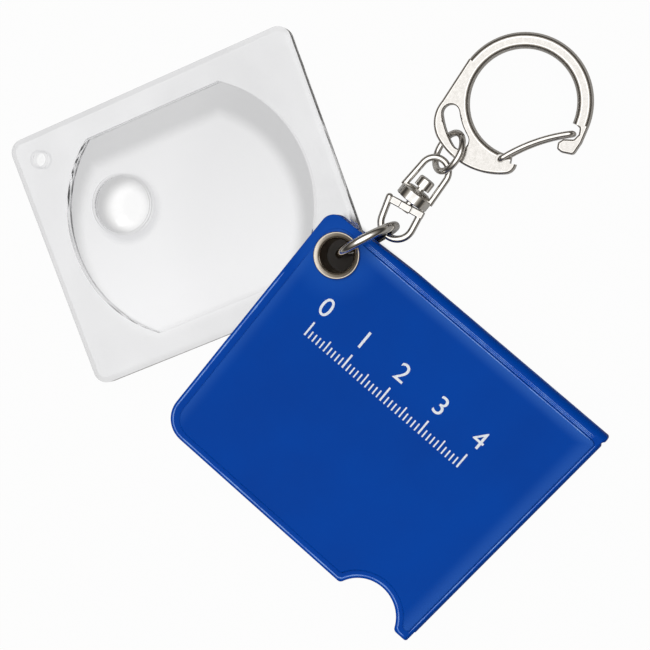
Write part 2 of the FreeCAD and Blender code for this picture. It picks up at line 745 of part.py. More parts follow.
def clip_gate():
    # One wire bent to a loop: a pivot through the body, a strand on each side and a cross
    # end in the nose. Drawn as the upper half and its mirror.
    side = clip_thickness / 2 + gate_side_gap + gate_wire
    pivot = clip_point(*gate_pivot_place)
    end = clip_point(*gate_end_place)
    sweep = Part.Arc(pivot, clip_point(*gate_middle_place), end).toShape().Curve
    centre = sweep.Center
    reach = math.sqrt(sweep.Radius ** 2 - gate_bend ** 2)
    turn = math.degrees(math.atan(gate_bend / reach))
    pivot_angle = math.degrees(math.atan2(pivot.y - centre.y, pivot.x - centre.x))
    end_angle = math.degrees(math.atan2(end.y - centre.y, end.x - centre.x))
    span = (end_angle - pivot_angle + 180) % 360 - 180
    turn = math.copysign(turn, span)
    lift = up * side
    knee = up * (side - gate_bend)
    strand_start = centre + direction(pivot_angle + turn) * reach
    strand_middle = centre + direction(pivot_angle + span / 2) * reach
    strand_end = centre + direction(end_angle - turn) * reach
    start_bend = ((pivot - strand_start).normalize() + up).normalize() * gate_bend
    end_bend = ((end - strand_end).normalize() + up).normalize() * gate_bend
    edges = [Part.LineSegment(pivot, pivot + knee).toShape(),
             Part.Arc(pivot + knee, strand_start + knee + start_bend,
                      strand_start + lift).toShape(),
             Part.Arc(strand_start + lift, strand_middle + lift, strand_end + lift).toShape(),
             Part.Arc(strand_end + lift, strand_end + knee + end_bend, end + knee).toShape(),
             Part.LineSegment(end + knee, end).toShape()]
    half = round_wire(edges, gate_wire)
    loop = half.fuse(half.mirror(Vector(0, 0, 0), up)).removeSplitter()
    loop.translate(clip_centre)
    return loop


pieces = {
    "front_shell": front_shell,
    "back_shell": back_shell,
    "eyelet": eyelet,
    "eyelet_washer": eyelet_washer,
    "lens_plate": lens_plate,
    "jump_ring": jump_ring,
    "swivel_stirrup": swivel_stirrup,
    "swivel_pin": swivel_pin,
    "swivel_yoke": swivel_yoke,
    "link_ring": link_ring,
    "clip_body": clip_body,
    "clip_gate": clip_gate,
}

os.makedirs("parts", exist_ok=True)
for name, make in pieces.items():
    shape = make()
    shape.translate(part_origin * -1)
    box = shape.BoundBox
    print(name, len(shape.Solids), shape.isValid(), round(shape.Volume, 2),
          [round(value, 2) for value in (box.XMin, box.XMax, box.YMin, box.YMax,
                                         box.ZMin, box.ZMax)])
    shape.exportStep("parts/" + name + ".step")
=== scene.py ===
import bmesh
import bpy
import math
from mathutils import Matrix, Vector


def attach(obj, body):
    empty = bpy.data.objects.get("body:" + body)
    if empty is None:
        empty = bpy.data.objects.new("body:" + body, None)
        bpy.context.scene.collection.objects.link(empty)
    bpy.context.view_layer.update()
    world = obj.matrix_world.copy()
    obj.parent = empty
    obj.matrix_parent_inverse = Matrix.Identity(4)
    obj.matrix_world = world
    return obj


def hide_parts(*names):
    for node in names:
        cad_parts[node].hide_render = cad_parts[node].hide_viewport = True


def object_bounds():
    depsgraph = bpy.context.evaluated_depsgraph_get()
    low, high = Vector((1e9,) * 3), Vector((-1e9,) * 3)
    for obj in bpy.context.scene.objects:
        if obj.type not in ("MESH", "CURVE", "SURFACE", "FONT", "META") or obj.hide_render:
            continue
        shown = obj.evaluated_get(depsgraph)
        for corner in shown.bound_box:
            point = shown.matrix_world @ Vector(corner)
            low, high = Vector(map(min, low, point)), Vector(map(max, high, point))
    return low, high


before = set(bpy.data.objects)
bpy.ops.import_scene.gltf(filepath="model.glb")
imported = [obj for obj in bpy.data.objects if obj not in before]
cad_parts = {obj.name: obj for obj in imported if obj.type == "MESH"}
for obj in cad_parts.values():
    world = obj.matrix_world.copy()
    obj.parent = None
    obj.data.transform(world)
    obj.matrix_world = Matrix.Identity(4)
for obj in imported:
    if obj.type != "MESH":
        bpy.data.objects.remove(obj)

cad_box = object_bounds()
mm = 0.001

# The table: a matt grey board that shows white, under a white light tent. The tent is bright
# overhead, grey on its walls and has a dark gap low down all round, which is what draws the
# thin dark lines along polished nickel wire.


def linear(code):
    # sRGB hex to the linear colour that the shaders take
    channels = []
    for start in (1, 3, 5):
        value = int(code[start:start + 2], 16) / 255
        channels.append(value / 12.92 if value <= 0.04045 else ((value + 0.055) / 1.055) ** 2.4)
    return (*channels, 1)


def add(tree, kind, inputs=(), **settings):
    # Adds one node; inputs are (socket, value or the output that feeds it)
    node = tree.nodes.new(kind)
    for name, value in settings.items():
        setattr(node, name, value)
    for socket, value in inputs:
        if isinstance(value, bpy.types.NodeSocket):
            tree.links.new(value, node.inputs[socket])
        else:
            node.inputs[socket].default_value = value
    return node


scene = bpy.context.scene
scene.view_settings.view_transform = "Standard"

camera_place = Vector((0.03195, 0.07266, 0.33914))
camera_right = Vector((0.7473, 0.6211, -0.2358))
camera_back = Vector((0.1526, 0.1849, 0.9708)).normalized()
camera_up = camera_back.cross(camera_right).normalized()
camera_right = camera_up.cross(camera_back)
camera_data = bpy.data.cameras.new("camera")
camera_data.sensor_width = 36
camera_data.lens = 95.54
camera_data.clip_start = 0.01
camera_data.clip_end = 20
camera = bpy.data.objects.new("camera", camera_data)
camera.matrix_world = Matrix((
    (camera_right.x, camera_up.x, camera_back.x, camera_place.x),
    (camera_right.y, camera_up.y, camera_back.y, camera_place.y),
    (camera_right.z, camera_up.z, camera_back.z, camera_place.z),
    (0, 0, 0, 1)))
scene.collection.objects.link(camera)
scene.camera = camera

table_half = 1500 * mm
table_gap = 0.1 * mm
table_level = cad_box[0].z - table_gap
table_mesh = bpy.data.meshes.new("table")
table_mesh.from_pydata([(-table_half, -table_half, table_level), (table_half, -table_half, table_level),
                        (table_half, table_half, table_level), (-table_half, table_half, table_level)],
                       [], [(0, 1, 2, 3)])
table = bpy.data.objects.new("table", table_mesh)
scene.collection.objects.link(table)

# Matt board: shows white to the eye and through clear plastic, and keeps a soft shadow. Metal
# shows it fainter, because polished nickel would lose its edges against plain white. Under
# the sleeve it doesn't glow and its paint is darker, a painted shadow, so the gap there and the
# hollow eyelet look dark.
board_seen = 0.97
board_through = 0.94
board_in_metal = 0.12
board = bpy.data.materials.new("matt_white_board")
board.use_nodes = True
tree = board.node_tree
tree.nodes.clear()
spot = add(tree, "ShaderNodeTexCoord")
under_middle = Vector((-1.08, 3.1, 0)) * mm      # of what the sleeve covers, clear of its notch
under_half = Vector((33.2, 25.6)) * mm
shade_full = 2.7 * mm                            # in from the edge
shade_start = 0.5 * mm
off_middle = add(tree, "ShaderNodeVectorMath", [(0, spot.outputs["Object"]), (1, tuple(under_middle))],
                 operation="SUBTRACT")
off_middle = add(tree, "ShaderNodeVectorMath", [(0, off_middle.outputs[0])], operation="ABSOLUTE")
off_middle = add(tree, "ShaderNodeSeparateXYZ", [(0, off_middle.outputs[0])])
inset_x = add(tree, "ShaderNodeMath", [(0, under_half.x), (1, off_middle.outputs["X"])], operation="SUBTRACT")
inset_y = add(tree, "ShaderNodeMath", [(0, under_half.y), (1, off_middle.outputs["Y"])], operation="SUBTRACT")
inset = add(tree, "ShaderNodeMath", [(0, inset_x.outputs[0]), (1, inset_y.outputs[0])], operation="MINIMUM")
# Painted shadow: under the sleeve's footprint the board neither glows nor keeps its pale paint
clear = add(tree, "ShaderNodeMapRange", [("Value", inset.outputs[0]), ("From Min", shade_full),
                                         ("From Max", shade_start)], interpolation_type="SMOOTHSTEP")
board_paint_with_painted_shadow = add(tree, "ShaderNodeValToRGB", [(0, clear.outputs[0])])
board_paint_with_painted_shadow.color_ramp.elements[0].color = linear("#625E5A")
board_paint_with_painted_shadow.color_ramp.elements[1].color = linear("#A19F9C")
paint = add(tree, "ShaderNodeBsdfDiffuse", [("Color", board_paint_with_painted_shadow.outputs[0])])
glow = add(tree, "ShaderNodeEmission", [("Color", (1, 1, 1, 1)), ("Strength", 1.0)])
path = add(tree, "ShaderNodeLightPath")
direct = add(tree, "ShaderNodeMath", [(0, path.outputs["Is Camera Ray"]),
                                      (1, board_seen)], operation="MULTIPLY")
through = add(tree, "ShaderNodeMath", [(0, path.outputs["Transmission Depth"]),
                                       (1, board_through)], operation="MULTIPLY")
through = add(tree, "ShaderNodeMath", [(0, through.outputs[0]), (1, board_through)], operation="MINIMUM")
mirrored = add(tree, "ShaderNodeMath", [(0, path.outputs["Is Glossy Ray"]),
                                        (1, board_in_metal)], operation="MULTIPLY")
seen = add(tree, "ShaderNodeMath", [(0, direct.outputs[0]), (1, through.outputs[0])], operation="MAXIMUM")
seen = add(tree, "ShaderNodeMath", [(0, seen.outputs[0]), (1, mirrored.outputs[0])], operation="MAXIMUM")
share = add(tree, "ShaderNodeMath", [(0, seen.outputs[0]), (1, clear.outputs[0])], operation="MULTIPLY")
mixed = add(tree, "ShaderNodeMixShader", [(0, share.outputs[0]), (1, paint.outputs[0]), (2, glow.outputs[0])])
add(tree, "ShaderNodeOutputMaterial", [("Surface", mixed.outputs[0])])
table_mesh.materials.append(board)

tent_strength = 2.6
backdrop_in_metal = 0.05
tent_walls = (                   # from level, 0.5, to straight up, 1: linear colours
    (0.565, (0.03, 0.026, 0.02)), (0.62, (0.004, 0.003, 0.002)), (0.70, (0.003, 0.002, 0.001)),
    (0.765, (0.045, 0.037, 0.028)), (0.82, (0.10, 0.092, 0.08)), (0.88, (0.21, 0.20, 0.185)),
    (0.915, (0.44, 0.43, 0.42)), (0.94, (1.0, 1.0, 1.0)), (0.965, (1.0, 1.0, 1.0)),
    (0.978, (0.59, 0.59, 0.59)))
tent = bpy.data.worlds.new("light_tent")
scene.world = tent
tent.use_nodes = True
tree = tent.node_tree
tree.nodes.clear()
where = add(tree, "ShaderNodeTexCoord")
parts = add(tree, "ShaderNodeSeparateXYZ", [(0, where.outputs["Generated"])])
height = add(tree, "ShaderNodeMapRange", [("Value", parts.outputs["Z"]), ("From Min", -1.0),
                                          ("From Max", 1.0)])
wall = add(tree, "ShaderNodeValToRGB", [(0, height.outputs[0])])
steps = wall.color_ramp
steps.elements[0].position = 0.5
steps.elements[0].color = (0.13, 0.12, 0.105, 1)
steps.elements[1].position = 1.0
steps.elements[1].color = (0.57, 0.57, 0.57, 1)
for position, colour in tent_walls:
    step = steps.elements.new(position)
    step.color = (*colour, 1)
path = add(tree, "ShaderNodeLightPath")
tent_wall = add(tree, "ShaderNodeBackground", [("Color", wall.outputs[0]), ("Strength", tent_strength)])
backdrop = add(tree, "ShaderNodeBackground", [("Color", (1, 1, 1, 1)), ("Strength", 1.0)])
mirrored = add(tree, "ShaderNodeMath", [(0, path.outputs["Is Glossy Ray"]),
                                        (1, backdrop_in_metal)], operation="MULTIPLY")
seen = add(tree, "ShaderNodeMath", [(0, path.outputs["Is Camera Ray"]),
                                    (1, path.outputs["Transmission Depth"])],
           operation="MAXIMUM", use_clamp=True)
seen = add(tree, "ShaderNodeMath", [(0, seen.outputs[0]), (1, mirrored.outputs[0])], operation="MAXIMUM")
mixed = add(tree, "ShaderNodeMixShader", [(0, seen.outputs[0]), (1, tent_wall.outputs[0]),
                                          (2, backdrop.outputs[0])])
add(tree, "ShaderNodeOutputWorld", [("Surface", mixed.outputs[0])])

for name, place, size, power in (("key_softbox", (-0.55, 0.30, 0.60), 0.35, 1.2),
                                 ("fill_softbox", (0.60, -0.30, 0.55), 0.60, 0.4)):
    lamp_data = bpy.data.lights.new(name, "AREA")
    lamp_data.shape = "SQUARE"
    lamp_data.size = size
    lamp_data.energy = power
    lamp = bpy.data.objects.new(name, lamp_data)
    lamp.location = place
    lamp.rotation_mode = "QUATERNION"
    lamp.rotation_quaternion = Vector(place).to_track_quat("Z", "Y")
    lamp.visible_glossy = False
    scene.collection.objects.link(lamp)

# Sleeve: two shells pressed from calendered PVC sheet, and welded along the top rim and the
# side rim by a heated bar. The bar's edge leaves a fine glossy bead and ribs along the lips.
lip_top = 5.3 * mm              # front lips, above the flat back
lip_back = 0.5 * mm
panel_top = 5.8 * mm
sleeve_left = -34.35 * mm
sleeve_low = -28.71 * mm
sleeve_high = 28.71 * mm
rim_at_middle = 34.35 * mm
rim_slope = math.tan(math.radians(3.84))
corner_round = 5.5 * mm
notch_middle = Vector((21.92, -31.11)) * mm
notch_radius = 7.5 * mm
eyelet_axis = Vector((-27.48, 21.31, 0)) * mm

# Calendered PVC, blue right through: semi-gloss from the press plate, with the faint grain and
# slow waviness of warm-pressed sheet. A painted sheen makes it paler round the eyelet, and on the front along
# the ridge, the open side and the rim.
vinyl = bpy.data.materials.new("pressed_pvc_sheet")
vinyl.use_nodes = True
tree = vinyl.node_tree
shader = tree.nodes["Principled BSDF"]
shader.inputs["Specular IOR Level"].default_value = 0.03
shader.inputs["IOR"].default_value = 1.53
where = add(tree, "ShaderNodeTexCoord")
cloud = add(tree, "ShaderNodeTexNoise", [("Vector", where.outputs["Object"]), ("Scale", 1 / (16 * mm)),
                                         ("Detail", 3.0)])
shade = add(tree, "ShaderNodeValToRGB", [(0, cloud.outputs["Fac"])])
shade.color_ramp.elements[0].position = 0.3
shade.color_ramp.elements[0].color = linear("#003D9A")
shade.color_ramp.elements[1].position = 0.75
shade.color_ramp.elements[1].color = linear("#0042A3")
off_eyelet = add(tree, "ShaderNodeVectorMath", [(0, where.outputs["Object"]),
                                                (1, (eyelet_axis.x, eyelet_axis.y, panel_top))],
                 operation="DISTANCE")
# Painted sheen: the vinyl's colour turns paler near the eyelet
eyelet_sheen_share = add(tree, "ShaderNodeMapRange", [("Value", off_eyelet.outputs["Value"]), ("From Min", 10.5 * mm),
                                           ("From Max", 5 * mm), ("To Max", 0.18)],
              interpolation_type="SMOOTHSTEP")
painted_eyelet_sheen = add(tree, "ShaderNodeMixRGB", [("Fac", eyelet_sheen_share.outputs[0]), ("Color1", shade.outputs[0]),
                                       ("Color2", linear("#2C6AC4"))])
place = add(tree, "ShaderNodeSeparateXYZ", [(0, where.outputs["Object"])])
# Painted sheen: on the front only, the colour turns paler towards the ridge, the open side and the rim
ridge_painted_sheen = add(tree, "ShaderNodeMapRange", [("Value", place.outputs["Y"]), ("From Min", 23.4 * mm),
                                              ("From Max", 26.4 * mm), ("To Max", 0.32)],
                 interpolation_type="SMOOTHSTEP")
side_painted_sheen = add(tree, "ShaderNodeMapRange", [("Value", place.outputs["X"]), ("From Min", -29.5 * mm),
                                             ("From Max", -33.2 * mm), ("To Max", 0.22)],
                interpolation_type="SMOOTHSTEP")
on_front = add(tree, "ShaderNodeMapRange", [("Value", place.outputs["Z"]), ("From Min", 5.5 * mm),
                                            ("From Max", 5.75 * mm)])
lean = add(tree, "ShaderNodeMath", [(0, place.outputs["Y"]), (1, -rim_slope), (2, place.outputs["X"])],
           operation="MULTIPLY_ADD")
rim_painted_sheen = add(tree, "ShaderNodeMapRange", [("Value", lean.outputs[0]), ("From Min", 29.6 * mm),
                                            ("From Max", 32.8 * mm), ("To Max", 0.2)],
               interpolation_type="SMOOTHSTEP")
painted_sheen = add(tree, "ShaderNodeMath", [(0, ridge_painted_sheen.outputs[0]),
                                    (1, side_painted_sheen.outputs[0])], operation="MAXIMUM")
painted_sheen = add(tree, "ShaderNodeMath", [(0, painted_sheen.outputs[0]), (1, rim_painted_sheen.outputs[0])], operation="MAXIMUM")
painted_sheen = add(tree, "ShaderNodeMath", [(0, painted_sheen.outputs[0]), (1, on_front.outputs[0])], operation="MULTIPLY")
with_painted_sheen = add(tree, "ShaderNodeMixRGB", [("Fac", painted_sheen.outputs[0]), ("Color1", painted_eyelet_sheen.outputs[0]),
                                        ("Color2", linear("#4A7FD0"))])
tree.links.new(with_painted_sheen.outputs[0], shader.inputs["Base Color"])
grain = add(tree, "ShaderNodeTexNoise", [("Vector", where.outputs["Object"]), ("Scale", 1 / (0.45 * mm)),
                                         ("Detail", 2.0)])
wave = add(tree, "ShaderNodeTexNoise", [("Vector", where.outputs["Object"]), ("Scale", 1 / (9 * mm)),
                                        ("Detail", 1.0)])
gloss = add(tree, "ShaderNodeMapRange", [("Value", cloud.outputs["Fac"]), ("From Min", 0.3),
                                         ("From Max", 0.7),
                                         ("To Min", 0.30), ("To Max", 0.42)])
tree.links.new(gloss.outputs[0], shader.inputs["Roughness"])
slow = add(tree, "ShaderNodeBump", [("Height", wave.outputs["Fac"]), ("Strength", 0.5),
                                    ("Distance", 0.06 * mm)])
fine = add(tree, "ShaderNodeBump", [("Height", grain.outputs["Fac"]), ("Strength", 0.35),
                                    ("Distance", 0.012 * mm),
                                    ("Normal", slow.outputs[0])])
tree.links.new(fine.outputs[0], shader.inputs["Normal"])
for name in ("front_shell", "back_shell"):
    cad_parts[name].material_slots[0].material = vinyl

# Weld bead: the same PVC, melted and set again, so smoother and shinier; its lighter colour is a painted
# highlight along the beads, ribs and seam
weld = bpy.data.materials.new("remelted_pvc_bead")
weld.use_nodes = True
tree = weld.node_tree
shader = tree.nodes["Principled BSDF"]
shader.inputs["Specular IOR Level"].default_value = 0.6
shader.inputs["IOR"].default_value = 1.53
where = add(tree, "ShaderNodeTexCoord")
cloud = add(tree, "ShaderNodeTexNoise", [("Vector", where.outputs["Object"]), ("Scale", 1 / (4 * mm)),
                                         ("Detail", 2.0)])
# Painted highlight: the bead's blue is lighter than the sheet's
shade = add(tree, "ShaderNodeValToRGB", [(0, cloud.outputs["Fac"])])
shade.color_ramp.elements[0].position = 0.35
shade.color_ramp.elements[0].color = linear("#1C5FC6")
shade.color_ramp.elements[1].position = 0.7
shade.color_ramp.elements[1].color = linear("#6A97DE")
tree.links.new(shade.outputs[0], shader.inputs["Base Color"])
gloss = add(tree, "ShaderNodeMapRange", [("Value", cloud.outputs["Fac"]), ("From Min", 0.3),
                                         ("From Max", 0.7),
                                         ("To Min", 0.18), ("To Max", 0.3)])
tree.links.new(gloss.outputs[0], shader.inputs["Roughness"])


def lip_bead(name, points, level, facing, width, rise):
    # A low half-round bead along points on a face at one level; facing is 1 up, -1 down
    steps_across = 6
    sunk = 0.02 * mm
    end_share = 0.15
    verts = []
    faces = []
    for index, point in enumerate(points):
        before = Vector(points[max(index - 1, 0)])
        after = Vector(points[min(index + 1, len(points) - 1)])
        along = (after - before).normalized()
        side = Vector((-along.y, along.x))
        shrink = end_share if index in (0, len(points) - 1) else 1.0
        for step in range(steps_across + 1):
            turn = math.pi * step / steps_across
            out = Vector(point) + side * (math.cos(turn) * width / 2 * shrink)
            up = math.sin(turn) * rise * shrink - sunk
            verts.append((out.x, out.y, level + facing * up))
    row = steps_across + 1
    for low in range(0, row * (len(points) - 1), row):
        high = low + row
        for step in range(steps_across):
            face = (low + step, low + step + 1, high + step + 1, high + step)
            faces.append(face if facing < 0 else face[::-1])
    mesh = bpy.data.meshes.new(name)
    mesh.from_pydata(verts, [], faces)
    mesh.polygons.foreach_set("use_smooth", [True] * len(faces))
    mesh.materials.append(weld)
    bead = bpy.data.objects.new(name, mesh)
    scene.collection.objects.link(bead)
    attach(bead, "sleeve")


def spaced(start, end, gap):
    # Points from start to end, no further apart than gap
    start = Vector(start)
    end = Vector(end)
    count = max(2, math.ceil((end - start).length / gap) + 1)
    return [tuple(start.lerp(end, index / (count - 1))) for index in range(count)]


def turned(centre, radius, start, end, count):
    # Points on an arc, from one angle to another, in degrees
    angles = [math.radians(start + (end - start) * index / (count - 1)) for index in range(count)]
    return [(centre[0] + radius * math.cos(angle), centre[1] + radius * math.sin(angle)) for angle in angles]


edge_inset = 0.62 * mm
edge_width, edge_rise = 0.34 * mm, 0.10 * mm
edge_top = 12 * mm
side_stop = 1.0 * mm
left = sleeve_left + edge_inset
low = sleeve_low + edge_inset
bend = corner_round - edge_inset
notch_reach = notch_radius + edge_inset
notch_half = math.sqrt(notch_reach ** 2 - (low - notch_middle.y) ** 2)
notch_angle = math.degrees(math.atan2(low - notch_middle.y, notch_half))
notch_ease = 3                                   # degrees left out at each end of the arc
notch_skip = 0.5 * mm
rim_x_low = rim_at_middle + low * rim_slope - side_stop
open_edge = spaced((left, edge_top), (left, low + bend), 2 * mm)
open_edge += turned((left + bend, low + bend), bend, 180, 270, 14)[1:]
open_edge += spaced((left + bend, low), (notch_middle.x - notch_half - notch_skip, low), 2 * mm)[1:]
open_edge += turned(notch_middle, notch_reach, 180 - notch_angle - notch_ease, notch_angle + notch_ease, 24)
open_edge += spaced((notch_middle.x + notch_half + notch_skip, low), (rim_x_low, low), 1 * mm)
for name, level, facing in (("front_edge_bead", lip_top, 1), ("back_edge_bead", lip_back, -1)):
    lip_bead(name, open_edge, level, facing, edge_width, edge_rise)

rib_low = sleeve_high - 2.16 * mm
rib_pitch = 0.27 * mm
rib_width, rib_rise = 0.17 * mm, 0.07 * mm
rib_left = -24.5 * mm
rib_stop = 1.7 * mm
side_inset = 0.86 * mm
side_width, side_rise = 0.26 * mm, 0.08 * mm
side_low = low + 0.6 * mm
side_high = sleeve_high - 2.4 * mm
for face, level, facing in (("front", lip_top, 1), ("back", lip_back, -1)):
    for count in range(3):
        y = rib_low + count * rib_pitch
        line = spaced((rib_left, y), (rim_at_middle + y * rim_slope - rib_stop, y), 3 * mm)
        lip_bead(face + "_top_rib_" + str(count + 1), line, level, facing, rib_width, rib_rise)
    line = spaced((rim_at_middle + side_low * rim_slope - side_inset, side_low),
                  (rim_at_middle + side_high * rim_slope - side_inset, side_high), 3 * mm)
    lip_bead(face + "_side_bead", line, level, facing, side_width, side_rise)

ridge_y = 26.12 * mm
ridge_left = -21.5 * mm
ridge_stop = 2.4 * mm
ridge_width, ridge_rise = 0.26 * mm, 0.07 * mm
for face, level, facing in (("front", panel_top, 1), ("back", 0.0, -1)):
    line = spaced((ridge_left, ridge_y), (rim_at_middle + ridge_y * rim_slope - ridge_stop, ridge_y), 3 * mm)
    lip_bead(face + "_panel_ridge", line, level, facing, ridge_width, ridge_rise)

# Seam where the two shells were pressed together: a thin line of flash along the top rim,
# at half the sleeve's thickness
seam_level = 2.9 * mm
seam_left, seam_right = -12 * mm, 33.8 * mm
flash_out, flash_half = 0.09 * mm, 0.13 * mm
flash_sunk = 0.02 * mm
flash_steps = 4
row = flash_steps + 1
flash_verts = []
flash_faces = []
for index, point in enumerate(spaced((seam_left, sleeve_high), (seam_right, sleeve_high), 1.5 * mm)):
    for step in range(flash_steps + 1):
        turn = math.pi * (step / flash_steps - 0.5)
        flash_verts.append((point[0], point[1] - flash_sunk + math.cos(turn) * flash_out,
                            seam_level + math.sin(turn) * flash_half))
    if index:
        low = row * (index - 1)
        high = low + row
        for step in range(flash_steps):
            flash_faces.append((low + step, low + step + 1, high + step + 1, high + step))
flash_mesh = bpy.data.meshes.new("top_seam_flash")
flash_mesh.from_pydata(flash_verts, [], flash_faces)
flash_mesh.polygons.foreach_set("use_smooth", [True] * len(flash_faces))
flash_mesh.materials.append(weld)
flash = bpy.data.objects.new("top_seam_flash", flash_mesh)
scene.collection.objects.link(flash)
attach(flash, "sleeve")

# Print: a plain centimetre scale, screen printed on the front panel in white ink. The ink lies
# on the vinyl as a thin matt film, and shows the screen's mesh as a slight unevenness.
ink = bpy.data.materials.new("white_screen_ink")
ink.use_nodes = True
tree = ink.node_tree
shader = tree.nodes["Principled BSDF"]
shader.inputs["Specular IOR Level"].default_value = 0.2
shader.inputs["Roughness"].default_value = 0.55
where = add(tree, "ShaderNodeTexCoord")
mesh_marks = add(tree, "ShaderNodeTexNoise", [("Vector", where.outputs["Object"]),
                                              ("Scale", 1 / (0.3 * mm)), ("Detail", 3.0)])
shade = add(tree, "ShaderNodeValToRGB", [(0, mesh_marks.outputs["Fac"])])
shade.color_ramp.elements[0].position = 0.3
shade.color_ramp.elements[0].color = linear("#CFD8E6")
shade.color_ramp.elements[1].position = 0.6
shade.color_ramp.elements[1].color = linear("#E6EAF0")
tree.links.new(shade.outputs[0], shader.inputs["Base Color"])
film = add(tree, "ShaderNodeBump", [("Height", mesh_marks.outputs["Fac"]), ("Strength", 0.3),
                                    ("Distance", 0.01 * mm)])
tree.links.new(film.outputs[0], shader.inputs["Normal"])

scale_start = -22.4 * mm
scale_base = 4.9 * mm
scale_length = 40                # ticks, 1 mm apart
tick_width = 0.3 * mm
long_tick_share = 1.3            # of the width, at whole centimetres
ink_rise = 0.03 * mm
ink_sunk = 0.005 * mm
number_height = 4.1 * mm
number_base = 10.2 * mm
figure_share = 0.73              # height of a figure in the font's size
ink_bm = bmesh.new()
for count in range(scale_length + 1):
    tall = 3.3 * mm if count % 10 == 0 else 2.5 * mm if count % 5 == 0 else 1.7 * mm
    x = scale_start + count * mm
    wide = tick_width * (long_tick_share if count % 10 == 0 else 1.0) / 2
    corners = [(x - wide, scale_base), (x + wide, scale_base),
               (x + wide, scale_base + tall), (x - wide, scale_base + tall)]
    bottom = [ink_bm.verts.new((a, b, panel_top - ink_sunk)) for a, b in corners]
    top = [ink_bm.verts.new((a, b, panel_top + ink_rise)) for a, b in corners]
    ink_bm.faces.new(top)
    for side in range(4):
        ink_bm.faces.new((bottom[side], bottom[(side + 1) % 4], top[(side + 1) % 4], top[side]))
ticks_mesh = bpy.data.meshes.new("scale_ticks")
ink_bm.to_mesh(ticks_mesh)
ink_bm.free()
ticks_mesh.materials.append(ink)
ticks = bpy.data.objects.new("scale_ticks", ticks_mesh)
scene.collection.objects.link(ticks)
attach(ticks, "sleeve")
for count in range(scale_length // 10 + 1):
    figure_data = bpy.data.curves.new("figure", "FONT")
    figure_data.body = str(count)
    figure_data.size = number_height / figure_share
    figure_data.align_x = "CENTER"
    figure_data.extrude = ink_rise / 2
    figure = bpy.data.objects.new("figure", figure_data)
    scene.collection.objects.link(figure)
    bpy.context.view_layer.update()
    number_mesh = bpy.data.meshes.new_from_object(figure)
    bpy.data.objects.remove(figure)
    number_mesh.transform(Matrix.Translation((scale_start + count * 10 * mm, number_base,
                                              panel_top + ink_rise / 2)))
    number_mesh.materials.clear()
    number_mesh.materials.append(ink)
    number = bpy.data.objects.new("scale_number_" + str(count), number_mesh)
    scene.collection.objects.link(number)
    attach(number, "sleeve")

# Eyelet and washer: drawn from brass strip, nickel plated, set through the sleeve and the
# plate and rolled over the washer behind. The setting tool leaves fine rings round the
# flange. The barrel's inside is rougher from drawing, and painted darker as painted shade in the bore.
turned_nickel = bpy.data.materials.new("tool_marked_nickel_plate")
turned_nickel.use_nodes = True
tree = turned_nickel.node_tree
shader = tree.nodes["Principled BSDF"]
shader.inputs["Metallic"].default_value = 1.0
where = add(tree, "ShaderNodeTexCoord")
from_axis = add(tree, "ShaderNodeVectorMath", [(0, where.outputs["Object"]),
                                               (1, tuple(eyelet_axis))], operation="SUBTRACT")
flat = add(tree, "ShaderNodeVectorMath", [(0, from_axis.outputs[0]), (1, (1, 1, 0))], operation="MULTIPLY")
radius = add(tree, "ShaderNodeVectorMath", [(0, flat.outputs[0])], operation="LENGTH")
level = add(tree, "ShaderNodeSeparateXYZ", [(0, where.outputs["Object"])])
bore_reach = add(tree, "ShaderNodeMapRange", [("Value", level.outputs["Z"]), ("From Min", 5.1 * mm),
                                              ("From Max", 5.75 * mm)],
                 interpolation_type="SMOOTHSTEP")
outside = add(tree, "ShaderNodeMath", [(0, radius.outputs["Value"]), (1, 3.5 * mm)], operation="GREATER_THAN")
inside = add(tree, "ShaderNodeMath", [(0, bore_reach.outputs[0]),
                                      (1, outside.outputs[0])], operation="MAXIMUM")
# Painted shade: the colour is darker in the bore, inside 3.5 mm and below the flange
shade = add(tree, "ShaderNodeValToRGB", [(0, inside.outputs[0])])
shade.color_ramp.elements[0].color = linear("#85786A")
shade.color_ramp.elements[1].color = linear("#ABA398")
tree.links.new(shade.outputs[0], shader.inputs["Base Color"])
ring_wave = add(tree, "ShaderNodeMath", [(0, radius.outputs["Value"]),
                                         (1, 2 * math.pi / (0.12 * mm))], operation="MULTIPLY")
ring_wave = add(tree, "ShaderNodeMath", [(0, ring_wave.outputs[0])], operation="SINE")
blotch = add(tree, "ShaderNodeTexNoise", [("Vector", where.outputs["Object"]), ("Scale", 1 / (1.1 * mm)),
                                          ("Detail", 4.0)])
marks = add(tree, "ShaderNodeBump", [("Height", ring_wave.outputs[0]), ("Strength", 0.12),
                                     ("Distance", 0.004 * mm)])
pits = add(tree, "ShaderNodeBump", [("Height", blotch.outputs["Fac"]), ("Strength", 0.4),
                                    ("Distance", 0.03 * mm),
                                    ("Normal", marks.outputs[0])])
tree.links.new(pits.outputs[0], shader.inputs["Normal"])
gloss = add(tree, "ShaderNodeMapRange", [("Value", inside.outputs[0]), ("To Min", 0.45), ("To Max", 0.16)])
tree.links.new(gloss.outputs[0], shader.inputs["Roughness"])
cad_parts["eyelet_washer"].material_slots[0].material = turned_nickel

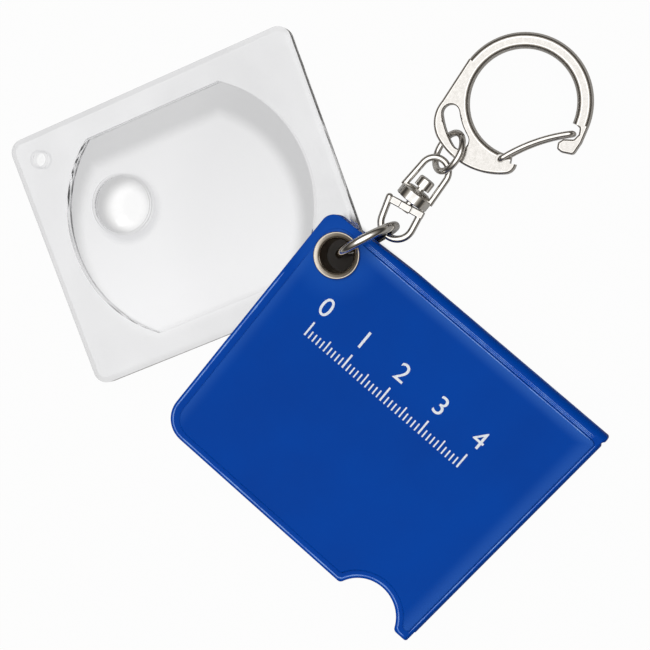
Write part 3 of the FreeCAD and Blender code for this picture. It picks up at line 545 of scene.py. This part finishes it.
# The drawn brass tube's section, radius and height in mm: a flange rolled over a broad, shallow
# funnel in front, a straight bore, and the roll that holds the washer behind
tube_section = ((3.6, 5.79), (4.62, 5.8), (4.72, 5.88), (4.74, 6.0), (4.68, 6.1), (4.56, 6.14), (4.45, 6.11),
                (4.2, 6.01), (3.9, 5.89), (3.68, 5.78), (3.48, 5.58), (3.35, 5.2), (3.27, 4.6), (3.25, 3.4),
                (3.25, 1.6), (3.25, 0.4), (3.27, -0.1), (3.4, -0.38), (3.65, -0.55), (3.95, -0.62),
                (4.25, -0.57), (4.46, -0.44), (4.55, -0.24), (4.4, -0.2), (3.62, -0.2))
turns = 96
eyelet_bm = bmesh.new()
rows = []
for turn in range(turns):
    angle = 2 * math.pi * turn / turns
    rows.append([eyelet_bm.verts.new((eyelet_axis.x + out * mm * math.cos(angle),
                                      eyelet_axis.y + out * mm * math.sin(angle), up * mm))
                 for out, up in tube_section])
for turn in range(turns):
    here = rows[turn]
    after = rows[(turn + 1) % turns]
    for step in range(len(here)):
        onward = (step + 1) % len(here)
        face = eyelet_bm.faces.new((here[step], after[step], after[onward], here[onward]))
        face.smooth = True
bmesh.ops.recalc_face_normals(eyelet_bm, faces=eyelet_bm.faces)
tube_mesh = bpy.data.meshes.new("rolled_eyelet")
eyelet_bm.to_mesh(tube_mesh)
eyelet_bm.free()
tube_mesh.materials.append(turned_nickel)
tube = bpy.data.objects.new("rolled_eyelet", tube_mesh)
scene.collection.objects.link(tube)
rounding = tube.modifiers.new("rounding", "SUBSURF")
rounding.levels = 1
rounding.render_levels = 1
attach(tube, "sleeve")
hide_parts("eyelet")

# Lens plate: one clear acrylic moulding, with a polished main lens, a small strong lens and a
# flat frame, which looks a little milky beside them. The lenses bend the tent's grey wall into
# a soft band and a crown, drawn here in the plate's own colour as painted shade and painted highlight, so
# they stay on it.
acrylic = bpy.data.materials.new("clear_moulded_acrylic")
acrylic.use_nodes = True
tree = acrylic.node_tree
shader = tree.nodes["Principled BSDF"]
shader.inputs["Transmission Weight"].default_value = 1.0
shader.inputs["IOR"].default_value = 1.49
where = add(tree, "ShaderNodeTexCoord")
open_turn = math.radians(61.4)                   # the plate at rest, out of the sleeve
lens_from_eyelet = Vector((-25.45, 20.5, 0)) * mm
lens_middle = eyelet_axis + Matrix.Rotation(open_turn, 3, "Z") @ lens_from_eyelet
off_lens = add(tree, "ShaderNodeVectorMath", [(0, where.outputs["Object"]),
                                              (1, tuple(lens_middle))], operation="SUBTRACT")
on_plate = add(tree, "ShaderNodeVectorRotate", [("Vector", off_lens.outputs[0]),
                                                ("Angle", -open_turn)], rotation_type="Z_AXIS")
on_plate = add(tree, "ShaderNodeVectorMath", [(0, on_plate.outputs[0]), (1, (1, 1, 0))], operation="MULTIPLY")


def inside_lens(tree, middle, radius, top, soft):
    # 1 inside a disc that is cut off flat above and below, fading over soft at its edge
    off = add(tree, "ShaderNodeVectorMath", [(0, on_plate.outputs[0]), (1, middle)], operation="SUBTRACT")
    away = add(tree, "ShaderNodeVectorMath", [(0, off.outputs[0])], operation="LENGTH")
    round_gap = add(tree, "ShaderNodeMath", [(0, radius), (1, away.outputs["Value"])], operation="SUBTRACT")
    height = add(tree, "ShaderNodeSeparateXYZ", [(0, off.outputs[0])])
    up = add(tree, "ShaderNodeMath", [(0, height.outputs["Y"])], operation="ABSOLUTE")
    flat_gap = add(tree, "ShaderNodeMath", [(0, top), (1, up.outputs[0])], operation="SUBTRACT")
    gap = add(tree, "ShaderNodeMath", [(0, round_gap.outputs[0]),
                                       (1, flat_gap.outputs[0])], operation="MINIMUM")
    return add(tree, "ShaderNodeMapRange", [("Value", gap.outputs[0]), ("From Min", -soft),
                                            ("From Max", soft)], interpolation_type="SMOOTHSTEP")


lens_radius = 26.3 * mm
lens_top = 21.35 * mm
band_width = 2.7 * mm
band_soft = 1.7 * mm
edge_soft = 0.15 * mm
uncut = 9 * mm                                   # a top beyond a small disc leaves it round
in_lens = inside_lens(tree, (0, 0, 0), lens_radius, lens_top, edge_soft)
in_crown = inside_lens(tree, (-1.75 * mm, -3.0 * mm, 0), lens_radius - band_width, lens_top - band_width,
                       band_soft)
strong_middle = Vector((-13.05, 6.0, 0)) * mm
crown_shift = Vector((0.7, -1.0, 0)) * mm
shade_shift = Vector((0.3, -1.0, 0)) * mm
in_strong = inside_lens(tree, tuple(strong_middle), 6.3 * mm, uncut, edge_soft)
strong_painted_highlight = inside_lens(tree, tuple(strong_middle + crown_shift), 4.6 * mm, uncut, 1.5 * mm)
strong_painted_shadow = inside_lens(tree, tuple(strong_middle + shade_shift), 6.9 * mm, uncut, 1.1 * mm)
boss_middle = (-26.35 * mm, 21.4 * mm, 0)
boss_ring = inside_lens(tree, boss_middle, 2.0 * mm, uncut, edge_soft)
boss_face = inside_lens(tree, boss_middle, 1.45 * mm, uncut, 0.2 * mm)
haze = add(tree, "ShaderNodeTexNoise", [("Vector", where.outputs["Object"]), ("Scale", 1 / (11 * mm)),
                                        ("Detail", 3.0)])
frame_tone = add(tree, "ShaderNodeValToRGB", [(0, haze.outputs["Fac"])])
frame_tone.color_ramp.elements[0].position = 0.3
frame_tone.color_ramp.elements[0].color = linear("#E2E2E3")
frame_tone.color_ramp.elements[1].position = 0.7
frame_tone.color_ramp.elements[1].color = linear("#EBEBEC")
lens_height = add(tree, "ShaderNodeSeparateXYZ", [(0, on_plate.outputs[0])])
crown_painted_light = add(tree, "ShaderNodeMapRange", [("Value", lens_height.outputs["Y"]), ("From Min", 15 * mm),
                                              ("From Max", -15 * mm)])
crown_painted_light = add(tree, "ShaderNodeValToRGB", [(0, crown_painted_light.outputs[0])])
crown_painted_light.color_ramp.elements[0].color = linear("#E6E6E7")
crown_painted_light.color_ramp.elements[1].color = linear("#F2F2F3")
# Painted shade and painted highlight: a dark band inside the main lens's edge, a crown lighter towards its
# low side, a painted shadow, dark ring and painted highlight on the strong lens, and a dark ring round a
# light face on the boss
tone = frame_tone
for inside, colour in ((boss_ring, linear("#D2D2D4")), (boss_face, linear("#F4F4F4")),
                       (in_lens, linear("#CACACB")), (in_crown, crown_painted_light.outputs[0]),
                       (strong_painted_shadow, linear("#D8D8DA")), (in_strong, linear("#CDCDCE")),
                       (strong_painted_highlight, linear("#FDFDFD"))):
    tone = add(tree, "ShaderNodeMixRGB", [("Fac", inside.outputs[0]), ("Color1", tone.outputs[0]),
                                          ("Color2", colour)])
tree.links.new(tone.outputs[0], shader.inputs["Base Color"])
gloss = add(tree, "ShaderNodeMapRange", [("Value", haze.outputs["Fac"]), ("From Min", 0.3), ("From Max", 0.7),
                                         ("To Min", 0.05), ("To Max", 0.09)])
tree.links.new(gloss.outputs[0], shader.inputs["Roughness"])
flow = add(tree, "ShaderNodeTexNoise", [("Vector", where.outputs["Object"]), ("Scale", 1 / (6 * mm)),
                                        ("Detail", 1.0)])
ripple = add(tree, "ShaderNodeBump", [("Height", flow.outputs["Fac"]), ("Strength", 0.25),
                                      ("Distance", 0.02 * mm)])
tree.links.new(ripple.outputs[0], shader.inputs["Normal"])
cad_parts["lens_plate"].material_slots[0].material = acrylic

# Wire pieces: the jump ring, the swivel's stirrup, pin, bow and collar, the link ring and the
# clip's gate are steel, bent or turned, barrel polished and nickel plated together. Barrel
# polishing leaves soft ripples and hair-fine scratches in a warm white metal.
bright_nickel = bpy.data.materials.new("barrel_polished_nickel_plate")
bright_nickel.use_nodes = True
tree = bright_nickel.node_tree
shader = tree.nodes["Principled BSDF"]
shader.inputs["Metallic"].default_value = 1.0
where = add(tree, "ShaderNodeTexCoord")
ripple = add(tree, "ShaderNodeTexNoise", [("Vector", where.outputs["Object"]), ("Scale", 1 / (1.4 * mm)),
                                          ("Detail", 2.0)])
scratch = add(tree, "ShaderNodeTexNoise", [("Vector", where.outputs["Object"]), ("Scale", 1 / (0.25 * mm)),
                                           ("Detail", 6.0)])
shade = add(tree, "ShaderNodeValToRGB", [(0, ripple.outputs["Fac"])])
shade.color_ramp.elements[0].position = 0.3
shade.color_ramp.elements[0].color = linear("#CECBC7")
shade.color_ramp.elements[1].position = 0.7
shade.color_ramp.elements[1].color = linear("#DAD8D4")
tree.links.new(shade.outputs[0], shader.inputs["Base Color"])
gloss = add(tree, "ShaderNodeMapRange", [("Value", scratch.outputs["Fac"]), ("From Min", 0.35),
                                         ("From Max", 0.7),
                                         ("To Min", 0.07), ("To Max", 0.17)])
tree.links.new(gloss.outputs[0], shader.inputs["Roughness"])
soft = add(tree, "ShaderNodeBump", [("Height", ripple.outputs["Fac"]), ("Strength", 0.35),
                                    ("Distance", 0.03 * mm)])
hair = add(tree, "ShaderNodeBump", [("Height", scratch.outputs["Fac"]), ("Strength", 0.15),
                                    ("Distance", 0.004 * mm),
                                    ("Normal", soft.outputs[0])])
tree.links.new(hair.outputs[0], shader.inputs["Normal"])
for name in ("jump_ring", "swivel_stirrup", "swivel_pin", "swivel_yoke", "link_ring", "clip_gate"):
    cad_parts[name].material_slots[0].material = bright_nickel

# Clip body: die-cast zinc, nickel plated. Casting leaves a faint orange peel on the flat
# faces, which makes their reflections softer than the wire's.
cast_nickel = bpy.data.materials.new("nickel_plated_die_casting")
cast_nickel.use_nodes = True
tree = cast_nickel.node_tree
shader = tree.nodes["Principled BSDF"]
shader.inputs["Metallic"].default_value = 1.0
where = add(tree, "ShaderNodeTexCoord")
peel = add(tree, "ShaderNodeTexNoise", [("Vector", where.outputs["Object"]), ("Scale", 1 / (0.5 * mm)),
                                        ("Detail", 2.0)])
shade = add(tree, "ShaderNodeValToRGB", [(0, peel.outputs["Fac"])])
shade.color_ramp.elements[0].position = 0.3
shade.color_ramp.elements[0].color = linear("#C6C3BE")
shade.color_ramp.elements[1].position = 0.7
shade.color_ramp.elements[1].color = linear("#D2CFCB")
tree.links.new(shade.outputs[0], shader.inputs["Base Color"])
gloss = add(tree, "ShaderNodeMapRange", [("Value", peel.outputs["Fac"]), ("From Min", 0.3), ("From Max", 0.7),
                                         ("To Min", 0.12), ("To Max", 0.22)])
tree.links.new(gloss.outputs[0], shader.inputs["Roughness"])
skin = add(tree, "ShaderNodeBump", [("Height", peel.outputs["Fac"]), ("Strength", 0.25),
                                    ("Distance", 0.02 * mm)])
tree.links.new(skin.outputs[0], shader.inputs["Normal"])
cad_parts["clip_body"].material_slots[0].material = cast_nickel
